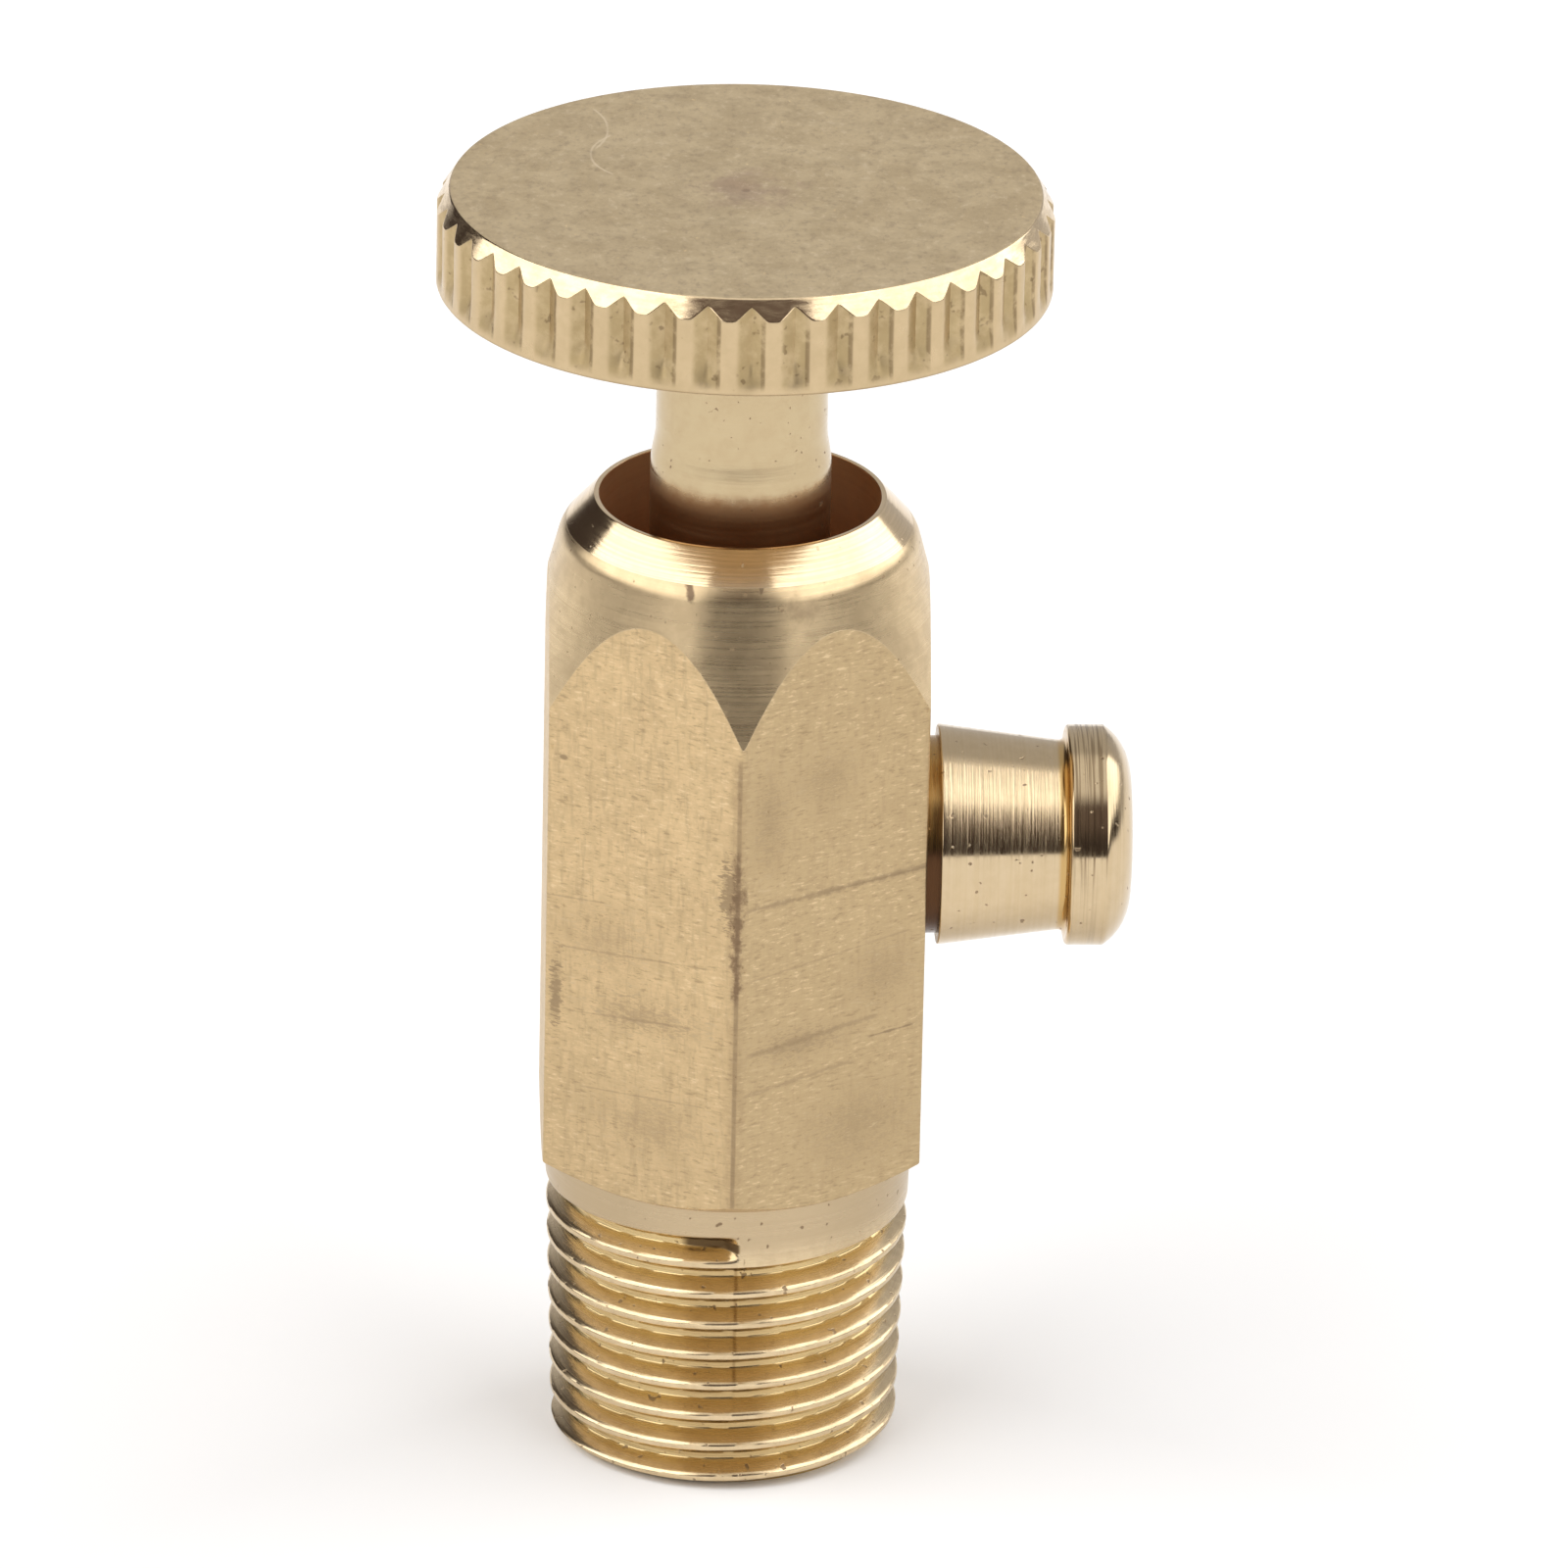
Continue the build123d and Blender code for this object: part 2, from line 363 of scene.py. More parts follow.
def brassFinish(name, look):
    # Metal whose colour, roughness and relief follow tool marks, cloudy tarnish, wear and painted shade
    material = bpy.data.materials.new(name)
    material.use_nodes = True
    tree = material.node_tree
    shader = tree.nodes["Principled BSDF"]
    place, x, y, z = millimetres(tree)
    at = {"place": place, "x": x, "y": y, "z": z, "radius": distance(tree, x, y)}
    marks = noise(tree, grainVector(tree, look["grain"], x, y, z), 1.0, *look["markDetail"])
    cloud = noise(tree, place, look["cloudScale"], *look["cloudDetail"])
    mottle = noise(tree, place, look["mottleScale"], *look["mottleDetail"])
    dull = rise(tree, cloud, *look["dullRange"], 0.0, look["tarnish"])
    streak = rise(tree, marks, *look["streakRange"], 0.0, look["streak"])
    patch = rise(tree, mottle, *look["mottleRange"], 0.0, look["mottle"])
    tone = mixColour(tree, dull, (*look["colour"], 1), (*look["tarnishColour"], 1))
    tone = mixColour(tree, streak, tone, (*look["streakColour"], 1))
    tone = mixColour(tree, patch, tone, (*look["tarnishColour"], 1))
    worn = 0.0
    for mask, colour, roughened in look["wear"](tree, at):
        tone = mixColour(tree, mask, tone, (*colour, 1))
        worn = calc(tree, "MULTIPLY_ADD", mask, roughened, worn)
    specks = noise(tree, place, look["speckScale"], *look["speckDetail"])
    speck = rise(tree, specks, look["speckEdge"], look["speckEdge"] + look["speckSoft"])
    tone = mixColour(tree, times(tree, speck, look["speck"]), tone, (*look["dirtColour"], 1))
    tree.links.new(tone, shader.inputs["Base Color"])
    smoothest, roughest = look["rough"] - look["roughSpread"], look["rough"] + look["roughSpread"]
    rough = rise(tree, marks, *look["roughRange"], smoothest, roughest)
    rough = calc(tree, "ADD", rough, times(tree, dull, look["dullRough"]))
    rough = calc(tree, "ADD", rough, calc(tree, "MULTIPLY_ADD", speck, look["speckRough"], worn), clamp=True)
    tree.links.new(rough, shader.inputs["Roughness"])
    shader.inputs["Metallic"].default_value = look["metal"]
    height = times(tree, marks, look["relief"])
    height = calc(tree, "ADD", height, times(tree, mottle, look["pebble"]))
    height = calc(tree, "SUBTRACT", height, times(tree, speck, look["pit"]))
    bump = nodeOf(tree, "ShaderNodeBump")
    bump.inputs["Distance"].default_value = mm
    feed(tree, bump.inputs["Height"], height)
    tree.links.new(bump.outputs[0], shader.inputs["Normal"])
    return material


def noWear(tree, at):
    return []


brassLook = {
    "colour": (0.68, 0.525, 0.31),
    "tarnishColour": (0.50, 0.375, 0.22),
    "streakColour": (0.58, 0.44, 0.255),
    "dirtColour": (0.20, 0.13, 0.075),
    "grain": {"kind": "turned", "around": 0.8, "across": 15.0},
    "cloudScale": 0.35, "mottleScale": 3.0, "speckScale": 5.0, "speckEdge": 0.74,
    "tarnish": 0.3, "streak": 0.3, "mottle": 0.2, "speck": 0.0,
    "rough": 0.28, "roughSpread": 0.06, "dullRough": 0.08, "speckRough": 0.25,
    "relief": 0.0012, "pebble": 0.0, "pit": 0.0, "metal": 1.0,
    "markDetail": (4.0, 0.6), "cloudDetail": (4.0, 0.62, 0.4), "mottleDetail": (4.0, 0.65, 0.3),
    "speckDetail": (1.0, 0.5), "speckSoft": 0.05, "roughRange": (0.3, 0.7),
    "dullRange": (0.40, 0.66), "streakRange": (0.36, 0.66), "mottleRange": (0.38, 0.66),
    "wear": noWear,
}


def variedBrass(name, **changes):
    return brassFinish(name, {**brassLook, **changes})


# Stem seal ring: the frame's own solid in black rubber with a faint cloudy bloom
rubberLook = {
    "black": (0.018, 0.018, 0.019), "bloom": (0.045, 0.043, 0.042), "bloomScale": 6.0,
    "bloomRange": (0.35, 0.7), "roughRange": (0.3, 0.7, 0.45, 0.62),
}


def sealRubber(look):
    material = bpy.data.materials.new("sealRubber")
    material.use_nodes = True
    tree = material.node_tree
    shader = tree.nodes["Principled BSDF"]
    cloud = noise(tree, millimetres(tree)[0], look["bloomScale"])
    pale = rise(tree, cloud, *look["bloomRange"])
    tone = mixColour(tree, pale, (*look["black"], 1), (*look["bloom"], 1))
    tree.links.new(tone, shader.inputs["Base Color"])
    feed(tree, shader.inputs["Roughness"], rise(tree, cloud, *look["roughRange"]))
    return material


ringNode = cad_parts["stem_seal_ring"]
ringNode.data.materials.clear()
ringNode.data.materials.append(sealRubber(rubberLook))
print("seal ring finished")


# Valve body
bodySizes = {
    "threadMajorR": 4.864, "threadPitch": 25.4 / 28, "threadTaper": 1 / 16, "threadDepth": 0.50,
    "crestShare": 0.18, "rootShare": 0.24, "threadLength": 7.54, "endChamfer": 0.24,
    "threadEndDeg": -86.0, "endFadeDeg": 8.0, "endColumnDeg": 0.12,
    "threadRowsPerPitch": 20, "threadBlur": 0.12,
    "hexFootZ": 8.28, "footInset": 0.13, "footConeDeg": 30.0, "cornerSharpness": 200,
    "footTrim": 0.05, "hexTopTrim": 0.04, "lipTrim": 0.02, "mouthTrim": 0.03,
    "shoulderDeg": 15.0, "bevelHeight": 0.95, "bevelWidth": 0.87, "bevelRound": 0.9, "lipLand": 0.13,
    "sealBoreR": 3.7, "sealBoreZ": 21.6, "screwR": 2.675, "seatR": 1.5, "seatZ": 14.99, "seatLength": 2.0,
    "inletR": 2.0, "drillDeg": 59.0,
    "columnDeg": (0.2, 0.45, 0.75, 1.15, 1.8, 3, 5, 7.5, 10, 12.5, 15, 17.5, 20, 22.5, 25, 27.5, 30),
}


def threadRadius(z, s):
    return s["threadMajorR"] - (s["threadLength"] - z) * s["threadTaper"] / 2


# Drawn hexagon bar: matte and flecked, painted shade on its right-hand faces, darker towards its lower end,
# scuffed along the near corner
barWearAndShade = {
    # the side colour is painted shade on the right-hand faces, and it also darkens the faces towards their
    # lower end
    "sideShadeAndFootDark": (0.48, 0.36, 0.203), "sideShadeShare": 0.7, "footDarkShare": 0.3, "footDarkZ": 18.0,
    "fleck": (0.35, 0.255, 0.14), "pale": (0.83, 0.65, 0.395), "weft": (0.47, 0.345, 0.195),
    "dark": (0.21, 0.135, 0.08), "grey": (0.30, 0.215, 0.125), "worn": (0.38, 0.27, 0.15),
    "scuffLow": 8.9, "scuffHigh": 21.4, "scuffHeavyLow": 15.0, "scuffHeavyHigh": 18.6,
    "wornHalf": 0.46, "wornSoft": 0.18, "scuffHalf": 0.34, "scuffAside": -0.07,
    "lineLow": -0.09, "lineHigh": -0.03, "lineSoft": 0.05, "lineRange": (0.35, 0.60, 0.25, 0.7),
    "sideSoft": 0.12, "fleckStretch": (3.4, 3.4, 13.0), "fleckDetail": (4.0, 0.65),
    "weftStretch": (6.0, 6.0, 1.1), "weftDetail": (3.0, 0.6), "weftRange": (0.48, 0.70, 0.0, 0.5),
    "fleckRange": (0.53, 0.70, 0.0, 0.62), "paleRange": (0.45, 0.30, 0.0, 0.6),
    "markRough": 0.05, "weftRough": 0.03, "scuffRough": 0.1,
    "scuffSoft": 0.4, "heavySoft": 0.8, "heavyPull": -0.20, "wornRag": 0.6, "wornShare": 0.5,
    "scuffRag": 1.0, "scuffFadeOut": 0.16, "scuffFadeIn": 0.08, "scuffShare": 0.8,
    "scratches": [  # ends as (x, height)
        {"start": (0.3, 17.33), "end": (4.9, 17.44), "half": 0.13, "strength": 0.6},
        {"start": (2.4, 17.36), "end": (4.9, 17.42), "half": 0.05, "strength": 0.5},
        {"start": (0.4, 13.15), "end": (3.6, 13.45), "half": 0.10, "strength": 0.45},
        {"start": (3.7, 12.90), "end": (4.6, 12.94), "half": 0.05, "strength": 0.9},
        {"start": (0.3, 12.0), "end": (3.0, 12.3), "half": 0.09, "strength": 0.4},
        {"start": (0.5, 15.3), "end": (4.4, 15.7), "half": 0.05, "strength": 0.3},
        {"start": (-4.6, 15.2), "end": (-0.9, 15.5), "half": 0.04, "strength": 0.4},
        {"start": (-4.3, 13.4), "end": (-1.3, 13.7), "half": 0.05, "strength": 0.4},
        {"start": (-3.9, 11.3), "end": (-1.0, 11.5), "half": 0.04, "strength": 0.35},
        {"start": (-4.9, 16.6), "end": (-3.6, 16.7), "half": 0.04, "strength": 0.4},
    ],
    "smudges": [
        {"at": (0.75, 19.7), "half": (0.55, 1.7), "rag": 5.0, "soft": 1.2, "strength": 0.45},
        {"at": (2.3, 20.6), "half": (0.9, 1.0), "rag": 6.0, "soft": 1.2, "strength": 0.35},
        {"at": (-2.4, 13.7), "half": (1.5, 0.6), "rag": 6.0, "soft": 1.2, "strength": 0.5},
        {"at": (-4.72, 13.8), "half": (0.18, 1.2), "rag": 4.0, "soft": 0.6, "strength": 0.8},
        {"at": (1.6, 13.2), "half": (1.4, 0.5), "rag": 5.0, "soft": 1.0, "strength": 0.55},
        {"at": (3.9, 14.6), "half": (1.0, 1.2), "rag": 5.0, "soft": 1.2, "strength": 0.4},
        {"at": (-0.32, 17.8), "half": (0.22, 1.0), "rag": 5.0, "soft": 0.5, "strength": 0.8},
        {"at": (-4.6, 20.6), "half": (0.14, 0.10), "rag": 0.8, "soft": 0.5, "strength": 0.8},
        {"at": (-2.2, 10.6), "half": (1.6, 1.0), "rag": 5.0, "soft": 1.2, "strength": 0.4},
        {"at": (-3.4, 15.6), "half": (1.2, 1.2), "rag": 5.0, "soft": 1.2, "strength": 0.35},
        {"at": (3.3, 10.4), "half": (1.8, 1.4), "rag": 5.0, "soft": 1.2, "strength": 0.4},
    ],
}


def barMarksAndShade(tree, at):
    w, x, z = barWearAndShade, at["x"], at["z"]
    front = frontMask(tree, at)
    ragged = raggedNoise(tree, at)
    lines = noise(tree, stretched(tree, at, w["fleckStretch"]), 1.0, *w["fleckDetail"])
    wefts = noise(tree, stretched(tree, at, w["weftStretch"]), 1.0, *w["weftDetail"])
    found = [
        # painted shade: the right-hand faces are darkened; the next mask darkens the faces towards their
        # lower end
        (rise(tree, x, -w["sideSoft"], w["sideSoft"], 0.0, w["sideShadeShare"]), w["sideShadeAndFootDark"], 0.0),
        (rise(tree, z, w["footDarkZ"], bodySizes["hexFootZ"], 0.0, w["footDarkShare"]), w["sideShadeAndFootDark"], 0.0),
        (rise(tree, wefts, *w["weftRange"]), w["weft"], w["weftRough"]),
        (rise(tree, lines, *w["fleckRange"]), w["fleck"], w["markRough"]),
        (rise(tree, lines, *w["paleRange"]), w["pale"], 0.0),
    ]
    for spot in w["smudges"]:
        mask = times(tree, front, smudgeMask(tree, x, z, lines, spot))
        found.append((mask, w["grey"], w["markRough"]))
    for line in w["scratches"]:
        mask = times(tree, front, scratchMask(tree, x, z, ragged, line))
        found.append((mask, w["grey"], 0.0))
    off = calc(tree, "ABSOLUTE", calc(tree, "SUBTRACT", x, w["scuffAside"]))
    near = times(tree, front, within(tree, z, w["scuffLow"], w["scuffHigh"], w["scuffSoft"]))
    reach = calc(tree, "MULTIPLY_ADD", ragged, w["wornRag"], off)
    edgeOut, edgeIn = w["wornHalf"] + w["wornSoft"], w["wornHalf"] - w["wornSoft"]
    strip = times(tree, near, rise(tree, reach, edgeOut, edgeIn, 0.0, w["wornShare"]))
    heavy = within(tree, z, w["scuffHeavyLow"], w["scuffHeavyHigh"], w["heavySoft"])
    reach = calc(tree, "MULTIPLY_ADD", ragged, w["scuffRag"], off)
    reach = calc(tree, "MULTIPLY_ADD", heavy, w["heavyPull"], reach)
    edgeOut, edgeIn = w["scuffHalf"] + w["scuffFadeOut"], w["scuffHalf"] - w["scuffFadeIn"]
    scuff = times(tree, near, rise(tree, reach, edgeOut, edgeIn, 0.0, w["scuffShare"]))
    corner = within(tree, x, w["lineLow"], w["lineHigh"], w["lineSoft"])
    corner = times(tree, corner, rise(tree, ragged, *w["lineRange"]))
    corner = times(tree, near, corner)
    return found + [
        (strip, w["worn"], w["markRough"]), (corner, w["grey"], w["markRough"]),
        (scuff, w["dark"], w["scuffRough"]),
    ]


drawnBar = variedBrass(
    "drawnBar", colour=(0.70, 0.515, 0.285), tarnishColour=(0.53, 0.39, 0.215),
    streakColour=(0.60, 0.445, 0.255), rough=0.42, roughSpread=0.06, tarnish=0.35, streak=0.3, mottle=0.5,
    mottleScale=2.2, grain={"kind": "drawn", "around": 1.6, "across": 15.0}, relief=0.003, pebble=0.006,
    wear=barMarksAndShade)


# Turned shoulder: fine lines round it, nicks under the lip and two soft stains
shoulderWear = {
    "dark": (0.17, 0.11, 0.07), "markRough": 0.1,
    "smudges": [
        {"at": (-1.42, 25.85), "half": (0.15, 0.34), "rag": 2.2, "soft": 0.6, "strength": 0.85},
        {"at": (0.42, 26.0), "half": (0.08, 0.16), "rag": 1.4, "soft": 0.5, "strength": 0.7},
        {"at": (1.5, 25.4), "half": (0.75, 0.6), "rag": 2.4, "soft": 1.2, "strength": 0.45},
        {"at": (-1.3, 23.6), "half": (0.16, 0.9), "rag": 1.2, "soft": 0.9, "strength": 0.35},
    ],
}


def shoulderMarks(tree, at):
    w = shoulderWear
    front = frontMask(tree, at)
    ragged = raggedNoise(tree, at)
    masks = [smudgeMask(tree, at["x"], at["z"], ragged, spot) for spot in w["smudges"]]
    return [(times(tree, front, mask), w["dark"], w["markRough"]) for mask in masks]


turnedShoulder = variedBrass(
    "turnedShoulder", colour=(0.70, 0.54, 0.325), tarnishColour=(0.50, 0.375, 0.22),
    streakColour=(0.57, 0.435, 0.255), rough=0.285, roughSpread=0.04, tarnish=0.4, streak=0.26, mottle=0.45,
    mottleScale=1.9, speck=0.6, speckEdge=0.725, relief=0.0004, pebble=0.001, wear=shoulderMarks)
polishedLip = variedBrass(
    "polishedLip", colour=(0.82, 0.64, 0.415), rough=0.12, roughSpread=0.04, tarnish=0.15, streak=0.5,
    mottle=0.15, relief=0.0018, grain={"kind": "turned", "around": 0.35, "across": 11.0})

# Cut thread: bright crests, golden roots darkened partly with painted shade, painted shade at the groove end
# and down the near side, a seam line, and the plain neck above it
threadWearAndShade = {
    # root colour: darker and more golden deep in the groove, partly the cut finish, partly painted shade
    "root": (0.66, 0.50, 0.25), "rootShadeDeep": 0.44, "rootShadeShallow": 0.22, "rootRough": 0.04,
    "cutRange": (0.02, 0.10), "plainRange": (0.08, 0.02),
    "neck": (0.505, 0.39, 0.245), "neckLow": 6.4, "neckHigh": 7.5, "neckShare": 0.9, "neckRough": 0.1,
    "line": (0.42, 0.285, 0.13), "lineStretch": (0.5, 0.5, 20.0), "lineDetail": 2.0,
    "lineRange": (0.52, 0.68, 0.0, 0.6),
    # painted shade: the tarnish colour here is a brown band painted straight down the near side of the thread
    "tarnish": (0.49, 0.345, 0.165), "frontShadeLow": -0.8, "frontShadeHigh": 0.5, "frontShadeSoft": 1.1,
    "frontShadeShare": 0.65,
    # painted shade: the end of the groove is painted dark
    "grooveEndShade": (0.11, 0.065, 0.03), "grooveEndShadeLow": (-1.1, 7.04), "grooveEndShadeHigh": (0.15, 7.26), "grooveEndShadeSoft": (0.3, 0.05),
    "grooveEndShadeShare": 0.9, "grooveEndShadeRough": 0.3,
    "seam": (0.30, 0.185, 0.08), "seamLow": (0.11, 3.4), "seamHigh": (0.14, 6.4), "seamSoft": (0.05, 1.0),
    "seamShare": 0.6,
}


def threadMarksAndShade(tree, at):
    w, s = threadWearAndShade, bodySizes
    surface = calc(tree, "MULTIPLY_ADD", at["z"], s["threadTaper"] / 2, threadRadius(0.0, s))
    depth = calc(tree, "SUBTRACT", surface, at["radius"])
    # painted shade in part: the deeper the groove, the darker and more golden its colour
    root = rise(tree, depth, w["rootShadeShallow"], w["rootShadeDeep"])
    high = rise(tree, at["z"], w["neckLow"], w["neckHigh"], 0.0, w["neckShare"])
    plain = times(tree, rise(tree, depth, *w["plainRange"]), high)
    lines = noise(tree, stretched(tree, at, w["lineStretch"]), 1.0, w["lineDetail"])
    fine = times(tree, root, rise(tree, lines, *w["lineRange"]))
    front = times(tree, rise(tree, depth, *w["cutRange"]), frontMask(tree, at))
    # painted shade: a brown band straight down the near side of the thread
    frontShadeBand = within(tree, at["x"], w["frontShadeLow"], w["frontShadeHigh"], w["frontShadeSoft"])
    brown = times(tree, front, frontShadeBand)
    # painted shade: the end of the groove is painted dark
    grooveEndShade = times(tree, front, boxMask(tree, at, w["grooveEndShadeLow"], w["grooveEndShadeHigh"], w["grooveEndShadeSoft"]))
    seam = times(tree, front, boxMask(tree, at, w["seamLow"], w["seamHigh"], w["seamSoft"]))
    return [
        (root, w["root"], w["rootRough"]), (fine, w["line"], 0.0),
        (times(tree, brown, w["frontShadeShare"]), w["tarnish"], 0.0),
        (plain, w["neck"], w["neckRough"]),
        (times(tree, seam, w["seamShare"]), w["seam"], 0.0),
        (times(tree, grooveEndShade, w["grooveEndShadeShare"]), w["grooveEndShade"], w["grooveEndShadeRough"]),
    ]


cutThread = variedBrass(
    "cutThread", colour=(0.76, 0.605, 0.385), rough=0.22, roughSpread=0.06, tarnish=0.25, streak=0.4,
    mottle=0.35, speck=0.7, speckEdge=0.705, speckScale=4.5, pit=0.004, relief=0.0026, wear=threadMarksAndShade)
# painted shade: the bore's walls and the spindle's parts inside the bore are coloured dark orange-brown for
# the deep cavity
shadedBoreWall = variedBrass(
    "shadedBoreWall", colour=(0.62, 0.34, 0.16), tarnishColour=(0.53, 0.285, 0.135),
    streakColour=(0.57, 0.31, 0.15), rough=0.5, tarnish=0.2, metal=0.45)
print("body finishes made")


def bodyAngles(s):
    # Columns crowded at the six corners of the hexagon, with two more at the end of the thread groove
    half = np.array(s["columnDeg"])
    sector = np.concatenate([-half[-2::-1], [0.0], half])
    degrees = np.concatenate([sector + 60 * k - 90 for k in range(6)])
    groove = np.array([-s["endColumnDeg"], s["endColumnDeg"]]) + s["threadEndDeg"]
    wrapped = (np.concatenate([degrees, groove]) + 180) % 360 - 180
    return np.radians(np.sort(wrapped))


def hexRadius(angle, apothem, sharpness):
    # Distance from the axis to a hexagon with slightly rounded corners: a high power mean of the six faces
    faces = np.cos(angle[:, None] - np.radians(60.0) * np.arange(6))
    return apothem / (np.clip(faces, 0, None) ** sharpness).sum(axis=1) ** (1 / sharpness)


def grooveDepth(z, angle, s):
    # How deep the helical groove is at a height and angle: a rounded trapezoid round the nearest turn
    mouth, root = (1 - s["crestShare"]) / 2, s["rootShare"] / 2
    endZ = s["threadLength"] - mouth * s["threadPitch"]
    turn = (angle - math.radians(s["threadEndDeg"])) / (2 * math.pi)
    turn = turn - np.ceil(turn - surfaceRules["tiny"])
    climb = (z - endZ) / s["threadPitch"] - turn
    nearest = np.minimum(np.round(climb), 0)
    depth = s["threadDepth"] * softClamp((mouth - np.abs(climb - nearest)) / (mouth - root), s["threadBlur"])
    fade = np.clip(-turn * 360 / s["endFadeDeg"], 0, 1)
    risen = depth * fade * fade * (3 - 2 * fade)
    return np.where(nearest == 0, risen, depth)  # the last turn rises to its end


def valveBodyGrid(s):
    angle = bodyAngles(s)
    hexR = hexRadius(angle, hexFaceX, s["cornerSharpness"])
    same = np.ones_like(angle)
    footR = hexFaceX - s["footInset"]
    coneTan = math.tan(math.radians(s["footConeDeg"]))
    mouthR = s["sealBoreR"] + s["lipLand"]
    bevelR, bevelZ = mouthR + s["bevelWidth"], lipZ - s["bevelHeight"]
    shoulder = math.radians(s["shoulderDeg"])
    bevelTurn = math.atan2(s["bevelWidth"], s["bevelHeight"]) - shoulder
    bevelTrim = s["bevelRound"] * math.tan(bevelTurn / 2)
    chamferR = threadRadius(s["endChamfer"], s)
    endR = np.minimum(chamferR - s["endChamfer"], threadRadius(0.0, s) - grooveDepth(0.0, angle, s))
    neckR = threadRadius(s["hexFootZ"], s)
    drillTan = math.tan(math.radians(s["drillDeg"]))
    inletTop = s["seatZ"] - s["seatLength"] - (s["inletR"] - s["seatR"]) / drillTan
    screwLow = s["seatZ"] + (s["screwR"] - s["seatR"]) / drillTan
    threadRows = int(s["threadRowsPerPitch"] * s["hexFootZ"] / s["threadPitch"])
    plan = [  # radius, height, trim, steps to the next key, place of that run's finish in the piece's list
        (s["inletR"], 0.0, 0.0, 3, 3),
        (endR, 0.0, 0.0, 4, 3),
        (chamferR, s["endChamfer"], 0.0, threadRows, 3),
        (neckR, s["hexFootZ"] + (neckR - footR) * coneTan, 0.0, 4, 1),
        (hexR, s["hexFootZ"] + (hexR - footR) * coneTan, s["footTrim"], 24, 0),
        (hexR, bevelZ - (hexR - bevelR) / math.tan(shoulder), s["hexTopTrim"], 14, 1),
        (bevelR, bevelZ, bevelTrim, 6, 2),
        (mouthR, lipZ, s["lipTrim"], 1, 2),
        (s["sealBoreR"], lipZ, s["mouthTrim"], 8, 4),
        (s["sealBoreR"], s["sealBoreZ"], 0.0, 3, 4),
        (s["screwR"], s["sealBoreZ"], 0.0, 8, 4),
        (s["screwR"], screwLow, 0.0, 2, 4),
        (s["seatR"], s["seatZ"], 0.0, 3, 4),
        (s["seatR"], s["seatZ"] - s["seatLength"], 0.0, 2, 4),
        (s["inletR"], inletTop, 0.0, 8, 4),
    ]
    keys = np.array([[r * same, z * same] for r, z, *_ in plan]).transpose(0, 2, 1)
    rows, runs = roundedRows(keys, [p[2] for p in plan], [p[3] for p in plan], closed=True, arcSteps=8)
    radius, height = rows[..., 0], rows[..., 1]
    threaded = (runs == 1) | (runs == 2)
    cut = threadRadius(height, s) - grooveDepth(height, angle[None, :], s)
    cut = np.minimum(cut, chamferR - s["endChamfer"] + height)
    radius = np.where(threaded[:, None] & (height < s["hexFootZ"]), np.minimum(radius, cut), radius)
    grid = np.stack([radius * np.cos(angle), radius * np.sin(angle), height], axis=-1)
    finish = np.array([p[4] for p in plan])[runs]
    flatLow = bevelZ + bevelTrim * math.cos(bevelTurn + shoulder) - surfaceRules["rowSlack"]
    finish[(finish == 2) & (height.max(axis=1) < flatLow)] = 1  # the rounded corner is dull like the shoulder
    return grid, finish


sideHoleSizes = {"drillR": 1.5, "seatR": 2.2, "startX": 0.6, "overX": 0.6, "columns": 64}


def sideHoleCutter(s):
    # A stepped plug about the nipple's axis: the drilled outlet, then the seat of the nipple's shank
    angle = np.linspace(0, 2 * math.pi, s["columns"], endpoint=False)
    endX = hexFaceX + s["overX"]
    plan = [(0, s["startX"]), (s["drillR"], s["startX"]), (s["drillR"], shankX), (s["seatR"], shankX),
            (s["seatR"], endX), (0, endX)]
    rows = np.array(plan)[:, None, :] * np.ones((1, len(angle), 1))
    radius, along = rows[..., 0], rows[..., 1]
    grid = np.stack([along, radius * np.cos(angle), outletZ + radius * np.sin(angle)], axis=-1)
    return gridMesh("sideHole", grid, False, np.zeros(len(plan), int))


def cutSideHole(mesh, cutterMesh):
    holder = bpy.data.objects.new("uncutBody", mesh)
    cutter = bpy.data.objects.new("sideHole", cutterMesh)
    for thing in (holder, cutter):
        bpy.context.scene.collection.objects.link(thing)
    hole = holder.modifiers.new("sideHole", "BOOLEAN")
    hole.operation, hole.solver, hole.object = "DIFFERENCE", "EXACT", cutter
    result = bpy.data.meshes.new_from_object(holder.evaluated_get(bpy.context.evaluated_depsgraph_get()))
    for thing in (holder, cutter):
        bpy.data.objects.remove(thing)
    return result


bodyGrid, bodyFinish = valveBodyGrid(bodySizes)
bodyMesh = gridMesh("valveBody", bodyGrid, True, bodyFinish)
bodyMesh = cutSideHole(bodyMesh, sideHoleCutter(sideHoleSizes))
bodyMesh.name = "valveBody"
smoothShade(bodyMesh)
addPiece("valveBody", bodyMesh, "body", "valve_body",
         [drawnBar, turnedShoulder, polishedLip, cutThread, shadedBoreWall])
print("valve body built,", len(bodyMesh.polygons), "faces")


# Drain nipple
nippleSizes = {
    "shankR": 2.2, "undercutR": 2.62, "undercutWidth": 0.38, "barrelR": 2.93, "waistR": 2.49,
    "barrelLength": 3.38, "collarR": 2.925, "noseLength": 0.72, "endLand": 0.1, "boreR": 1.5,
    "barrelTrim": 0.05, "waistTrim": 0.20, "collarTrim": 0.12, "boreTrim": 0.02,
    "noseSteps": 20, "columns": 160,
}


